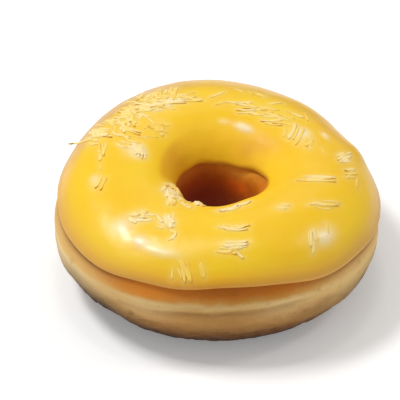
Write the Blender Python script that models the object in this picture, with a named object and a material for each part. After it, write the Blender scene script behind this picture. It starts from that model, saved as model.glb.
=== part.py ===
"""Iced ring doughnut: a solid ring of dough with icing over its top and pale shreds scattered on the icing.

Metres, +Z up. The front is the -Y side. theta runs round the ring from the front towards +X, and phi runs
over its section from the outer side (0) across the crown (90 degrees) into the hole (180 degrees).
"""
import math
import random

import bmesh
import bpy
from mathutils import Vector

# Section of the dough
RING_RADIUS = 0.0270
OUTER_HALF_WIDTH = 0.0190
INNER_HALF_WIDTH = 0.0162
BELLY_HEIGHT = 0.0172
CROWN_HEIGHT = 0.0161
UNDERSIDE_DEPTH = 0.0178
OUTER_FULLNESS = 0.97
INNER_FULLNESS = 0.78
INNER_FULLNESS_WAVES = ((1, 0.0, 0.09),)
CROWN_FULLNESS = 0.95
UNDERSIDE_FULLNESS = 0.90

# Unevenness of the hand-shaped ring: (waves round the ring, cosine part, sine part)
PLAN_WAVES = ((1, -0.00053, -0.00039), (2, 0.00020, 0.00019), (3, -0.00168, -0.00032))
CROWN_WAVES = ((1, 0.00045, -0.00046), (2, 0.00010, 0.00116))

# Crease below the pale band, and the shallow dents of the crust: theta, phi, their spreads (degrees) and
# depth, which is negative for a bulge
BAND_PHI = 0.051
BAND_RISE = 0.151
CREASE_DROP = 0.10
CREASE_DEPTH = 0.00050
CREASE_HALF_WIDTH = 0.055
DENTS = ((-50, -22, 15, 15, 0.0008), (36, -8, 9, 8, 0.0005), (150, -20, 16, 14, 0.0006),
         (-40, -38, 8, 14, 0.0008), (5, -46, 26, 12, -0.0006))
RIPPLE = 0.00016

# Icing: gap to the dough, thickness, swellings (theta, phi, their spreads and height, negative for a
# hollow) and two edges, with the place where the one in the hole sags: theta, its spread and the sag's angle
GAP = 0.0003
ICING_THICKNESS = 0.0013
SWELLINGS = ((108, 40, 8, 12, 0.0010), (138, 46, 15, 20, 0.0009), (30, 129, 14, 12, 0.0003),
             (72, 132, 16, 14, -0.0004), (-60, 138, 12, 9, 0.0008), (-22, 131, 6, 8, 0.0008))
OUTER_EDGE_PHI = 0.468
OUTER_EDGE_WAVES = ((1, -0.054, -0.088), (2, 0.109, 0.022), (5, 0.016, 0.010), (8, -0.008, 0.014),
                    (13, 0.009, 0.0))
HOLE_EDGE_PHI = 0.620
HOLE_EDGE_WAVES = ((1, 0.164, 0.116), (5, 0.010, -0.006), (9, 0.005, 0.006))
HOLE_EDGE_SAG = (143, 33, 0.118)
LIP = 0.075

# Mesh density
SEGMENTS = 64
TOP_ROWS = 12

# Shreds, in groups: theta, phi, spread of each, heading from the ring's run, its spread (all in degrees),
# mean length in metres and number
SHRED_SEED = 41
SHRED_WIDTH = 0.0010
SHRED_THICKNESS = 0.00050
SHRED_LIFT = 0.00010
SHRED_GROUPS = (
    (-112, 60, 3, 6, 68, 6, 0.0085, 5),
    (-129, 68, 6, 7, -76, 14, 0.0055, 6),
    (-139, 80, 6, 5, -52, 12, 0.0055, 4),
    (-149, 84, 5, 4, -14, 8, 0.0090, 3),
    (-163, 85, 4, 3, -11, 8, 0.0070, 3),
    (-155, 76, 4, 6, 62, 8, 0.0060, 2),
    (-147, 68, 3, 4, 33, 10, 0.0062, 2),
    (-122, 79, 4, 5, 36, 12, 0.0042, 3),
    (-114, 86, 5, 5, 82, 14, 0.0042, 2),
    (-98, 73, 5, 3, 14, 6, 0.0050, 3),
    (-100, 98, 2, 3, 14, 14, 0.0045, 3),
    (-127, 99, 5, 4, -60, 25, 0.0045, 1),
    (-66, 134, 3, 3, -70, 5, 0.0062, 2),
    (-50, 121, 5, 5, -40, 8, 0.0070, 4),
    (-42, 124, 5, 3, 0, 18, 0.0046, 2),
    (-57, 136, 4, 3, -19, 8, 0.0044, 2),
    (-20, 126, 5, 3, -60, 14, 0.0036, 3),
    (-44, 82, 3, 3, 30, 30, 0.0036, 2),
    (-30, 87, 4, 3, -28, 20, 0.0042, 2),
    (-21, 75, 1, 1, 84, 8, 0.0024, 1),
    (-11, 45, 3, 3, -68, 6, 0.0054, 3),
    (-76, 70, 2, 3, -31, 8, 0.0042, 2),
    (9, 69, 2, 2, -5, 5, 0.0070, 2),
    (7, 63, 3, 2, -9, 8, 0.0040, 2),
    (10, 61, 1, 2, -43, 10, 0.0026, 1),
    (10.5, 86.5, 2, 3, -9, 5, 0.0072, 3),
    (9, 110, 3, 2, 20, 6, 0.0050, 2),
    (24, 116, 3, 2, 2, 6, 0.0044, 2),
    (41.5, 57, 1, 1, 57, 4, 0.0042, 2),
    (77, 85, 2, 3, -71, 4, 0.0098, 2),
    (59.5, 71.5, 2, 2, -51, 4, 0.0070, 3),
    (99, 62, 2, 2.5, -47, 5, 0.0070, 3),
    (89, 60, 2, 2, -62, 6, 0.0038, 2),
    (84, 53, 2, 1, 10, 8, 0.0036, 1),
    (123, 90, 3, 3, -48, 5, 0.0060, 3),
    (113, 84, 5, 8, -40, 16, 0.0044, 1),
    (161, 88, 7, 5, 15, 8, 0.0058, 5),
    (144, 92, 6, 4, 30, 12, 0.0060, 3),
    (132, 66, 10, 5, 5, 25, 0.0048, 2),
)
# One shred stands out past the left side: theta, phi, heading (degrees), length, height of its free end
LONE_SHRED = (-109, 45, -95, 0.0090, 0.0022)

DOUGH_COLOUR = (0.52, 0.27, 0.10, 1.0)
ICING_COLOUR = (0.93, 0.60, 0.07, 1.0)


def waves(terms, theta):
    return sum(c * math.cos(k * theta) + s * math.sin(k * theta) for k, c, s in terms)


def power(value, exponent):
    return math.copysign(abs(value) ** exponent, value)


def section(theta, phi):
    """Radius and height of the smooth dough section."""
    c = math.cos(phi)
    s = math.sin(phi)
    if c > 0:
        radius = RING_RADIUS + (OUTER_HALF_WIDTH + waves(PLAN_WAVES, theta)) * power(c, OUTER_FULLNESS)
    else:
        fullness = INNER_FULLNESS + waves(INNER_FULLNESS_WAVES, theta)
        radius = RING_RADIUS + INNER_HALF_WIDTH * power(c, fullness)
    if s > 0:
        height = BELLY_HEIGHT + (CROWN_HEIGHT + waves(CROWN_WAVES, theta)) * power(s, CROWN_FULLNESS)
    else:
        height = BELLY_HEIGHT + UNDERSIDE_DEPTH * power(s, UNDERSIDE_FULLNESS)
    return radius, height


def surface(theta, phi, lift):
    """Point at a height over the smooth dough, measured square to its section."""
    step = 0.02
    r0, z0 = section(theta, phi - step)
    r1, z1 = section(theta, phi + step)
    length = math.hypot(r1 - r0, z1 - z0)
    radius, height = section(theta, phi)
    radius += lift * (z1 - z0) / length
    height -= lift * (r1 - r0) / length
    return Vector((radius * math.sin(theta), -radius * math.cos(theta), height))


def angle_between(a, b):
    return math.atan2(math.sin(a - b), math.cos(a - b))


def outer_edge(theta):
    return OUTER_EDGE_PHI + waves(OUTER_EDGE_WAVES, theta)


def hole_edge(theta):
    t, wide, sag = HOLE_EDGE_SAG
    turn = angle_between(theta, math.radians(t)) / math.radians(wide)
    return math.pi - HOLE_EDGE_PHI - waves(HOLE_EDGE_WAVES, theta) + sag * math.exp(-turn * turn)


def crease(theta):
    return BAND_PHI + BAND_RISE * math.cos(theta) - CREASE_DROP


def bumps(terms, theta, phi):
    """Sum of rounded bumps, each given as theta, phi, their spreads and height."""
    total = 0
    for t, p, wide, tall, height in terms:
        u = angle_between(theta, math.radians(t)) / math.radians(wide)
        v = (phi - math.radians(p)) / math.radians(tall)
        total += height * math.exp(-u * u - v * v)
    return total


def icing_top(theta, phi):
    return GAP + ICING_THICKNESS + bumps(SWELLINGS, theta, phi)


def relief(theta, phi):
    """Depth of the crust's crease, dents and ripples, none under the icing."""
    depth = CREASE_DEPTH * (0.75 + 0.25 * math.sin(3 * theta + 1)) * math.exp(
        -((phi - crease(theta)) / CREASE_HALF_WIDTH) ** 2)
    depth += bumps(DENTS, theta, phi)
    depth += RIPPLE * math.sin(11 * theta + 5 * phi) * math.cos(7 * theta - 9 * phi)
    free = min(1.0, max(0.0, (outer_edge(theta) - phi) / 0.15))
    return depth * free


def top_rows(theta):
    """Angles over the section from the icing's outer edge to its edge in the hole."""
    low = outer_edge(theta)
    high = hole_edge(theta)
    inside = TOP_ROWS - 4
    rows = [low, low + LIP]
    rows += [low + LIP + (high - low - 2 * LIP) * (i + 1) / (inside + 1) for i in range(inside)]
    return rows + [high - LIP, high]


def loft(name, columns):
    """Closed body from one closed loop of points for each step round the ring."""
    mesh = bpy.data.meshes.new(name)
    body = bmesh.new()
    rings = [[body.verts.new(point) for point in column] for column in columns]
    count = len(columns[0])
    for i, ring in enumerate(rings):
        after = rings[(i + 1) % len(rings)]
        for j in range(count):
            k = (j + 1) % count
            body.faces.new((ring[j], after[j], after[k], ring[k]))
    bmesh.ops.recalc_face_normals(body, faces=body.faces)
    bmesh.ops.triangulate(body, faces=body.faces)
    body.to_mesh(mesh)
    body.free()
    made = bpy.data.objects.new(name, mesh)
    bpy.context.scene.collection.objects.link(made)
    return made


def dough_column(theta):
    rest = math.asin((BELLY_HEIGHT / UNDERSIDE_DEPTH) ** (1 / UNDERSIDE_FULLNESS))
    fold = crease(theta)
    edge = outer_edge(theta)
    low = fold - CREASE_HALF_WIDTH * 1.4
    rows = [-rest + (low + rest) * i / 4 for i in range(5)]
    rows += [fold, fold + CREASE_HALF_WIDTH * 1.4, fold + CREASE_HALF_WIDTH * 1.4 + (edge - fold) * 0.35]
    points = [surface(theta, phi, -relief(theta, phi)) for phi in rows]
    points[0] = surface(theta, rows[0], 0)
    points += [surface(theta, phi, 0) for phi in top_rows(theta)]
    high = hole_edge(theta)
    under = [high + (math.pi + rest - high) * (i + 1) / 6 for i in range(6)]
    points += [surface(theta, phi, 0) for phi in under]
    points[0].z = 0
    points[-1].z = 0
    return points


def icing_column(theta):
    rows = top_rows(theta)
    edge_lift = GAP + 0.45 * ICING_THICKNESS
    outer = [surface(theta, phi, icing_top(theta, phi)) for phi in rows[1:-1]]
    outer = [surface(theta, rows[0], edge_lift)] + outer + [surface(theta, rows[-1], edge_lift)]
    inner = [surface(theta, phi, GAP) for phi in reversed(rows)]
    return outer + inner


def shred(name, theta, phi, heading, length, width, ends, bend):
    """Thin curved strip lying along the icing; ends gives how far each of its tips stands up."""
    mesh = bpy.data.meshes.new(name)
    body = bmesh.new()
    around = RING_RADIUS + OUTER_HALF_WIDTH * math.cos(phi)
    middle = []
    for along, rise in ((-0.5, ends[0]), (0.0, 0.0), (0.5, ends[1])):
        turn = heading + bend * along
        t = theta + along * length * math.cos(turn) / around
        p = phi + along * length * math.sin(turn) / OUTER_HALF_WIDTH
        middle.append(surface(t, p, icing_top(t, p) + SHRED_LIFT + rise))
    loops = []
    for i, point in enumerate(middle):
        run = (middle[min(i + 1, 2)] - middle[max(i - 1, 0)]).normalized()
        up = (surface(theta, phi, 1) - surface(theta, phi, 0)).normalized()
        side = run.cross(up).normalized()
        over = side.cross(run)
        half = width * (0.5 if i == 1 else 0.34)
        thick = SHRED_THICKNESS * (0.5 if i == 1 else 0.4)
        corners = ((-1, -1), (1, -1), (1, 1), (-1, 1))
        loops.append([body.verts.new(point + side * half * a + over * thick * b) for a, b in corners])
    for first, second in zip(loops, loops[1:]):
        for j in range(4):
            k = (j + 1) % 4
            body.faces.new((first[j], first[k], second[k], second[j]))
    body.faces.new(loops[0])
    body.faces.new(reversed(loops[-1]))
    bmesh.ops.recalc_face_normals(body, faces=body.faces)
    bmesh.ops.triangulate(body, faces=body.faces)
    body.to_mesh(mesh)
    body.free()
    return bpy.data.objects.new(name, mesh)


def shred_sizes():
    """Every shred as (length, theta, phi, heading, width, ends, bend), the longest first."""
    draw = random.Random(SHRED_SEED)
    sizes = []
    for t, p, spread_t, spread_p, heading, spread_h, mean, number in SHRED_GROUPS:
        for _ in range(number):
            length = mean * draw.uniform(0.75, 1.2)
            theta = math.radians(draw.gauss(t, spread_t * 0.6))
            phi = math.radians(draw.gauss(p, spread_p * 0.6))
            turn = math.radians(draw.gauss(heading, spread_h * 0.6))
            reach = abs(0.5 * length * math.sin(turn)) / OUTER_HALF_WIDTH + 2 * LIP
            phi = min(max(phi, outer_edge(theta) + reach), hole_edge(theta) - reach)
            width = SHRED_WIDTH * draw.uniform(0.75, 1.15)
            ends = (draw.uniform(0.0001, 0.0003), draw.uniform(0.0001, 0.0005))
            sizes.append((length, theta, phi, turn, width, ends, draw.uniform(-0.5, 0.15)))
    t, p, heading, length, rise = LONE_SHRED
    angles = (math.radians(t), math.radians(p), math.radians(heading))
    sizes.append((length, *angles, SHRED_WIDTH, (0.0001, rise), 0.3))
    return sorted(sizes, reverse=True)


def islands(body):
    """Faces of each connected part."""
    left = set(body.faces)
    parts = []
    while left:
        stack = [left.pop()]
        part = list(stack)
        while stack:
            for edge in stack.pop().edges:
                for face in edge.link_faces:
                    if face in left:
                        left.discard(face)
                        stack.append(face)
                        part.append(face)
        parts.append(part)
    return parts


def keep_main_body(mesh):
    """Fill sealed hollows and drop loose scraps left by the union."""
    body = bmesh.new()
    body.from_mesh(mesh)
    parts = sorted(islands(body), key=len)
    for part in parts[:-1]:
        bmesh.ops.delete(body, geom=part, context="FACES")
    body.to_mesh(mesh)
    body.free()


def fuse_shreds(icing):
    group = bpy.data.collections.new("shreds")
    bpy.context.scene.collection.children.link(group)
    for i, (length, theta, phi, heading, width, ends, bend) in enumerate(shred_sizes()):
        group.objects.link(shred(f"shred_{i:03d}", theta, phi, heading, length, width, ends, bend))
    fuse = icing.modifiers.new("fuse", "BOOLEAN")
    fuse.operation = "UNION"
    fuse.operand_type = "COLLECTION"
    fuse.collection = group
    fuse.solver = "EXACT"
    bpy.context.view_layer.objects.active = icing
    bpy.ops.object.modifier_apply(modifier=fuse.name)
    for strip in list(group.objects):
        bpy.data.objects.remove(strip)
    bpy.data.collections.remove(group)
    keep_main_body(icing.data)


def paint(made, name, colour, roughness):
    material = bpy.data.materials.new(name)
    material.use_nodes = True
    shader = material.node_tree.nodes["Principled BSDF"]
    shader.inputs["Base Color"].default_value = colour
    shader.inputs["Roughness"].default_value = roughness
    shader.inputs["Metallic"].default_value = 0.0
    made.data.materials.clear()
    made.data.materials.append(material)


def smooth(made, angle):
    made.data.shade_smooth()
    made.data.set_sharp_from_angle(angle=math.radians(angle))


def centre(pieces):
    """Put the middle of the whole over the origin."""
    points = [vertex.co for made in pieces for vertex in made.data.vertices]
    middle_x = (min(p.x for p in points) + max(p.x for p in points)) / 2
    middle_y = (min(p.y for p in points) + max(p.y for p in points)) / 2
    for point in points:
        point.x -= middle_x
        point.y -= middle_y


def main():
    for old in list(bpy.data.objects):
        bpy.data.objects.remove(old)
    angles = [2 * math.pi * i / SEGMENTS for i in range(SEGMENTS)]
    dough = loft("dough_ring", [dough_column(theta) for theta in angles])
    icing = loft("icing", [icing_column(theta) for theta in angles])
    fuse_shreds(icing)
    paint(dough, "dough_crust", DOUGH_COLOUR, 0.75)
    paint(icing, "yellow_icing", ICING_COLOUR, 0.3)
    smooth(dough, 40)
    smooth(icing, 35)
    centre([dough, icing])


main()
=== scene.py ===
"""Look of the iced ring doughnut: crust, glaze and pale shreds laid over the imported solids."""

import math
import random
from typing import NamedTuple

import bpy
import numpy as np
from mathutils import Matrix, Vector, kdtree, noise


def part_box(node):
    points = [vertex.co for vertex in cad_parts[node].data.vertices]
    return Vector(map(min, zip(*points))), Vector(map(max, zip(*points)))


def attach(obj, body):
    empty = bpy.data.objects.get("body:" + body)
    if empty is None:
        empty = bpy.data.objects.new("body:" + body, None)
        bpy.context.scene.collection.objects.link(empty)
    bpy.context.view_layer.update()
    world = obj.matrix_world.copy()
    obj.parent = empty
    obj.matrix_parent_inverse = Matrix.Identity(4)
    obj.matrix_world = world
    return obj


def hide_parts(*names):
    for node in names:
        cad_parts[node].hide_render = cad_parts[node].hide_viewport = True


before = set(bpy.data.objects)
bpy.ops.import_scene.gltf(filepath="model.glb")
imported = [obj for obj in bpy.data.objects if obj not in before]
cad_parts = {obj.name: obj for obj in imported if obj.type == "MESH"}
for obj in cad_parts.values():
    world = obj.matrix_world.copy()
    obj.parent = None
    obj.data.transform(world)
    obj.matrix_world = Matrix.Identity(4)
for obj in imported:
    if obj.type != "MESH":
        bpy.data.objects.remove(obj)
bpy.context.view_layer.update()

# Places on the ring: theta is the angle round it from the front towards +X, and phi the angle over its
# section from the outer side, over the crown, into the hole. Lengths are metres, and angles are radians
# where the text doesn't say degrees.


# ---- smooth steps, waves and noise ----


def waves(terms, theta):
    return sum(c * np.cos(k * theta) + s * np.sin(k * theta) for k, c, s in terms)


def gauss(x):
    return np.exp(-x * x)


def power(value, exponent):
    return np.sign(value) * np.abs(value) ** exponent


def rise(value, low, high):
    """Smooth step from 0 at low to 1 at high."""
    t = np.clip((value - low) / (high - low), 0, 1)
    return t * t * (3 - 2 * t)


def plateau(value, stops):
    """Rises from 0 to 1 over the first two of four stops and falls back over the last two."""
    a, b, c, d = stops
    return rise(value, a, b) * (1 - rise(value, c, d))


def swell(value, term):
    """A rounded step, given as its middle, spread and height."""
    middle, wide, height = term
    return height * gauss((value - middle) / wide)


def turn_from(theta, degrees):
    """Signed angle from a place on the ring, given in degrees, to theta."""
    away = theta - math.radians(degrees)
    return np.arctan2(np.sin(away), np.cos(away))


def bumps(terms, theta, phi):
    """Sum of rounded bumps, each given as theta, phi, their spreads (degrees) and height."""
    total = 0
    for t, p, wide, tall, height in terms:
        beside = turn_from(theta, t) / math.radians(wide)
        above = (phi - math.radians(p)) / math.radians(tall)
        total = total + height * gauss(beside) * gauss(above)
    return total


# Noise: how far each seed moves it, how fast its octaves fade, and how much finer each octave is
FIELD_SHIFT = (3.17, 7.31, 1.93)
FIELD_FADE = 1.0
FIELD_FINER = 2.0


def field(points, scale, octaves, seed):
    """Smooth noise of about -1 to 1 at each point."""
    shift = Vector([seed * part for part in FIELD_SHIFT])
    flat = points.reshape(-1, 3)
    values = [noise.fractal(Vector(p) / scale + shift, FIELD_FADE, FIELD_FINER, octaves) for p in flat]
    return np.array(values).reshape(points.shape[:-1])


# ---- form of the ring, as in the part ----
RING_RADIUS = 0.0270
OUTER_HALF_WIDTH = 0.0190
INNER_HALF_WIDTH = 0.0162
BELLY_HEIGHT = 0.0172
CROWN_HEIGHT = 0.0161
UNDERSIDE_DEPTH = 0.0178

# Below 1, a part of the section is fuller than an ellipse
OUTER_FULLNESS = 0.97
INNER_FULLNESS = 0.78
CROWN_FULLNESS = 0.95
UNDERSIDE_FULLNESS = 0.90

# Waves round the ring: how many, and the heights of their cosine and sine
INNER_FULLNESS_WAVES = ((1, 0.0, 0.09),)
PLAN_WAVES = ((1, -0.00053, -0.00039), (2, 0.00020, 0.00019), (3, -0.00168, -0.00032))
CROWN_WAVES = ((1, 0.00045, -0.00046), (2, 0.00010, 0.00116))

# The slope of the section is taken over this angle to either side
SLOPE_STEP = 0.02

# Edges of the icing: on the side, and in the hole, where it sags at one place (theta and spread in degrees)
OUTER_EDGE_PHI = 0.468
OUTER_EDGE_WAVES = ((1, -0.054, -0.088), (2, 0.109, 0.022), (5, 0.016, 0.010), (8, -0.008, 0.014),
                    (13, 0.009, 0.0))
HOLE_EDGE_PHI = 0.620
HOLE_EDGE_WAVES = ((1, 0.164, 0.116), (5, 0.010, -0.006), (9, 0.005, 0.006))
HOLE_EDGE_SAG = (143, 33, 0.118)

# The pale band along the side: its phi, and how it rises towards the front
BAND_PHI = 0.051
BAND_RISE = 0.151


def section(theta, phi):
    """Distance from the ring's axis and height of the dough's bare surface."""
    c, s = np.cos(phi), np.sin(phi)
    outer = (OUTER_HALF_WIDTH + waves(PLAN_WAVES, theta)) * power(c, OUTER_FULLNESS)
    fullness = INNER_FULLNESS + waves(INNER_FULLNESS_WAVES, theta)
    radius = RING_RADIUS + np.where(c > 0, outer, INNER_HALF_WIDTH * power(c, fullness))
    above = (CROWN_HEIGHT + waves(CROWN_WAVES, theta)) * power(s, CROWN_FULLNESS)
    height = BELLY_HEIGHT + np.where(s > 0, above, UNDERSIDE_DEPTH * power(s, UNDERSIDE_FULLNESS))
    return radius, height


def surface(theta, phi, lift):
    """Points that stand off the dough's bare surface by lift."""
    r0, z0 = section(theta, phi - SLOPE_STEP)
    r1, z1 = section(theta, phi + SLOPE_STEP)
    length = np.hypot(r1 - r0, z1 - z0)
    radius, height = section(theta, phi)
    radius = radius + lift * (z1 - z0) / length
    height = height - lift * (r1 - r0) / length
    return np.stack((radius * np.sin(theta), -radius * np.cos(theta), height), axis=-1)


def outer_edge(theta):
    return OUTER_EDGE_PHI + waves(OUTER_EDGE_WAVES, theta)


def hole_edge(theta):
    place, wide, sag = HOLE_EDGE_SAG
    sagging = sag * gauss(turn_from(theta, place) / math.radians(wide))
    return math.pi - HOLE_EDGE_PHI - waves(HOLE_EDGE_WAVES, theta) + sagging


def band(theta):
    return BAND_PHI + BAND_RISE * np.cos(theta)


# ---- relief of the crust ----
# The crease below the pale band: how far below, how it slants near the front, its depth and half width
CREASE_DROP = 0.10
CREASE_SHIFT = 0.03
CREASE_SLANT = 0.10
CREASE_SLANT_REACH = 0.8
CREASE_DEPTH = 0.00050
CREASE_HALF_WIDTH = 0.055

# Share of its depth that it has all round, and what it gains on the front and the right: theta, spread, gain
CREASE_STRENGTH = 0.3
CREASE_FRONT = (-0.08, 0.32, 0.7)
CREASE_RIGHT = (0.45, 0.16, 0.6)

# Dents: theta, phi, their spreads (degrees) and depth
DENTS = ((-50, -22, 15, 15, 0.0008), (36, -8, 9, 8, 0.0005), (150, -20, 16, 14, 0.0006),
         (-40, -38, 8, 14, 0.0008), (5, -46, 26, 12, -0.0006))

# Ripples: depth, and waves along theta and phi for each of the two crossing sets
RIPPLE = 0.00016
RIPPLE_WAVES = ((11, 5), (7, -9))

# Crags and pits: both grow towards the underside, over this angle below the crease
CRAG_DEPTH = 0.00016
CRAG_SCALE = 0.0045
CRAG_STRETCH = (1.0, 1.0, 2.2)
CRAG_SEED = 1
CRAG_LEAST = 0.4
PIT_DEPTH = 0.0005
PIT_SCALE = 0.0022
PIT_SEED = 2
PIT_LEVEL = 0.18
PIT_LEAST = 0.25
BELOW_CREASE = 0.25

# Angle over which all this fades out towards the icing
RELIEF_FADE = 0.15

# Crags in the hole, where the crust also lies a little deeper, from the icing's edge inwards
HOLE_CRAG_DEPTH = 0.0002
HOLE_CRAG_SCALE = 0.004
HOLE_CRAG_SEED = 5
HOLE_SUNK = 0.00015
HOLE_CRAG_FADE = 0.1


def relief(theta, phi, base):
    """Depth of the crease, dents, ripples, crags and pits of the crust, none of it under the icing."""
    fold = band(theta) - CREASE_DROP
    turn = turn_from(theta, 0)
    strength = CREASE_STRENGTH + swell(turn, CREASE_FRONT) + swell(turn, CREASE_RIGHT)
    slant = CREASE_SLANT * turn * (np.abs(turn) < CREASE_SLANT_REACH)
    depth = CREASE_DEPTH * strength * gauss((phi - fold + CREASE_SHIFT - slant) / CREASE_HALF_WIDTH)
    depth += bumps(DENTS, theta, phi)
    (a, b), (c, d) = RIPPLE_WAVES
    depth += RIPPLE * np.sin(a * theta + b * phi) * np.cos(c * theta + d * phi)
    below = np.clip((fold - phi) / BELOW_CREASE, 0, 1)
    crags = field(base * np.array(CRAG_STRETCH), CRAG_SCALE, 3, CRAG_SEED)
    depth += CRAG_DEPTH * crags * (CRAG_LEAST + below)
    pits = np.clip(field(base, PIT_SCALE, 2, PIT_SEED) - PIT_LEVEL, 0, 1)
    depth += PIT_DEPTH * pits * (PIT_LEAST + below)
    return depth * np.clip((outer_edge(theta) - phi) / RELIEF_FADE, 0, 1)


# ---- unevenness of the icing ----
# The icing lies clear of the dough by GAP. Its rounded edges start at ICING_FOOT, just inside the crust.
GAP = 0.0003
ICING_THICKNESS = 0.0013
ICING_TOP = GAP + ICING_THICKNESS
ICING_FOOT = -0.0002

# Swellings: theta, phi, their spreads (degrees) and height
SWELLINGS = ((108, 40, 8, 12, 0.0010), (138, 46, 15, 20, 0.0009), (30, 129, 14, 12, 0.0003),
             (72, 132, 16, 14, -0.0004), (-60, 138, 12, 9, 0.0008), (-22, 131, 6, 8, 0.0008))

# Rounded drops, in the same terms, and the height at which a drop is at its palest; their paleness is partly
# a painted highlight, partly paler patches among the shreds
DROPS = ((-100, 98, 6, 6, 0.00032), (122, 85, 5, 7, 0.00026), (47, 52, 5, 7, 0.00028),
         (155, 111, 6, 4, 0.00034), (161, 110, 5, 4, 0.00020), (174, 109, 5, 3, 0.00014),
         (-34, 63, 4, 5, 0.00032), (-46, 67, 4, 7, 0.00026), (-24, 59, 7, 4, 0.00022),
         (-29, 87, 4, 4, 0.00026), (-43, 82, 4, 5, 0.00018), (-150, 85, 10, 4, 0.00022),
         (-20, 126, 4, 3, 0.00028), (-52, 121, 8, 8, 0.00020), (-79, 69.5, 3, 4.5, 0.00016),
         (43, 90, 4, 3, 0.00012), (116, 67, 3, 3, 0.00026))
DROP_HIGHLIGHT_HEIGHT = 0.00030

# Low bumps over the front left, in the same terms
LOW_BUMPS = ((-39, 66, 2.5, 6, -0.00010), (-29, 72, 3, 5, 0.00010))

# Gentle rolling of the whole icing: height, scale and seed, and how far it makes the icing settle
ICING_ROLL = ((0.00020, 0.013, 8), (0.00006, 0.004, 9))
ICING_SETTLED = 0.0001


def unevenness(theta, phi):
    """Height of the icing's swellings, drops and low bumps over its even thickness."""
    base = surface(theta, phi, 0)
    uneven = sum(height * field(base, scale, 2, seed) for height, scale, seed in ICING_ROLL) - ICING_SETTLED
    return uneven + bumps(SWELLINGS, theta, phi) + bumps(DROPS, theta, phi) + bumps(LOW_BUMPS, theta, phi)


# ---- meshes of the crust and the icing ----
AROUND = 384
SIDE_ROWS = 84
UNDER_ICING_ROWS = 16
HOLE_ROWS = 36
ICING_ROWS = 112
ICING_BACK_ROWS = 14
LIP_ROWS = 8

# Rounded edges of the icing: their widths, and how blunt they are
LIP = 0.075
HOLE_LIP = 0.12
LIP_FULLNESS = 1.3

# The back of the icing stops this far short of its edges
BACK_INSET = 0.01

# The icing's unevenness starts at the first of these heights over the dough, and is whole after the second
UNEVEN_FROM = 0.0006
UNEVEN_OVER = 0.001


def mesh_object(name, points, faces):
    mesh = bpy.data.meshes.new(name)
    mesh.from_pydata(points.reshape(-1, 3).tolist(), [], faces)
    mesh.update()
    mesh.shade_smooth()
    made = bpy.data.objects.new(name, mesh)
    bpy.context.scene.collection.objects.link(made)
    return made


def ring_faces(columns, rows):
    """Quads of a closed tube: columns round the ring, each a closed loop of rows."""
    faces = []
    for i in range(columns):
        a = i * rows
        b = ((i + 1) % columns) * rows
        for j in range(rows):
            k = (j + 1) % rows
            faces.append((a + j, b + j, b + k, a + k))
    return faces


def paint_values(made, name, values):
    """Stores one number a vertex, for the materials."""
    layer = made.data.attributes.new(name, "FLOAT", "POINT")
    layer.data.foreach_set("value", np.ascontiguousarray(values.reshape(-1), np.float32))


def spread(low, high, count):
    """Rows from low to high (arrays over theta), both ends kept."""
    t = np.linspace(0, 1, count)
    return low[:, None] + (high - low)[:, None] * t[None, :]


def make_crust(theta):
    """The dough ring as one closed tube: its side, what the icing hides, the hole and the flat underside."""
    rest = math.asin((BELLY_HEIGHT / UNDERSIDE_DEPTH) ** (1 / UNDERSIDE_FULLNESS))
    edge = outer_edge(theta)
    high = hole_edge(theta)
    ones = np.ones_like(theta)
    side = spread(-rest * ones, edge, SIDE_ROWS)
    top = spread(edge, high, UNDER_ICING_ROWS)[:, 1:]
    hole = spread(high, (math.pi + rest) * ones, HOLE_ROWS)[:, 1:]
    phi = np.concatenate((side, top, hole), axis=1)
    around = np.repeat(theta[:, None], phi.shape[1], axis=1)
    base = surface(around, phi, 0)
    depth = relief(around, phi, base)
    inside = np.clip((phi - high[:, None]) / HOLE_CRAG_FADE, 0, 1)
    hole_crags = field(base, HOLE_CRAG_SCALE, 3, HOLE_CRAG_SEED)
    depth += inside * (HOLE_CRAG_DEPTH * hole_crags + HOLE_SUNK)
    depth[:, 0] = 0
    depth[:, -1] = 0
    points = surface(around, phi, -depth)
    points[:, 0, 2] = 0
    points[:, -1, 2] = 0
    points[..., 2] = np.maximum(points[..., 2], 0)
    crust = mesh_object("crust", points, ring_faces(len(theta), phi.shape[1]))
    paint_side(crust, around, phi, points[..., 2], edge[:, None])
    paint_hole(crust, around, phi, points[..., 2], high[:, None])
    paint_values(crust, "depth", np.clip(depth / FULL_DEPTH, -1, 1))
    return crust


def make_icing(theta):
    """The icing as one closed tube: rounded outer edge, top, rounded edge in the hole, and its back."""
    edge = outer_edge(theta)
    high = hole_edge(theta)
    turn = np.linspace(0, math.pi / 2, LIP_ROWS)
    first = edge[:, None] + LIP * (1 - np.cos(turn))[None, :]
    first_lift = ICING_FOOT + (ICING_TOP - ICING_FOOT) * np.sin(turn) ** LIP_FULLNESS
    middle = spread(edge + LIP, high - HOLE_LIP, ICING_ROWS)[:, 1:-1]
    last = high[:, None] - HOLE_LIP * (1 - np.cos(turn[::-1]))[None, :]
    last_lift = first_lift[::-1]
    back = spread(high - BACK_INSET, edge + BACK_INSET, ICING_BACK_ROWS)
    phi = np.concatenate((first, middle, last, back), axis=1)
    top_lift = np.full(middle.shape[1], ICING_TOP)
    lift = np.concatenate((first_lift, top_lift, last_lift, np.full(ICING_BACK_ROWS, ICING_FOOT)))
    around = np.repeat(theta[:, None], phi.shape[1], axis=1)
    shown = np.clip((lift - UNEVEN_FROM) / UNEVEN_OVER, 0, 1)[None, :]
    points = surface(around, phi, lift[None, :] + unevenness(around, phi) * shown)
    glaze = mesh_object("glaze", points, ring_faces(len(theta), phi.shape[1]))
    paint_glaze(glaze, around, phi, edge[:, None], high[:, None])
    return glaze


# ---- what is painted on the crust: theta and its spreads in degrees ----
# The flanks, where the side is paler and its shades lie closer together: from, full, full, to
FLANKS = (24, 58, 115, 150)
FLANK_SPREAD = 0.5

# Tints of the side: middle, spread and strength round the ring
FRONT = (4, 19, 1.0)
AMBER = (-24, 13, 1.0)
AMBER_LEVELS = (-0.02, 0.12)

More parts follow.
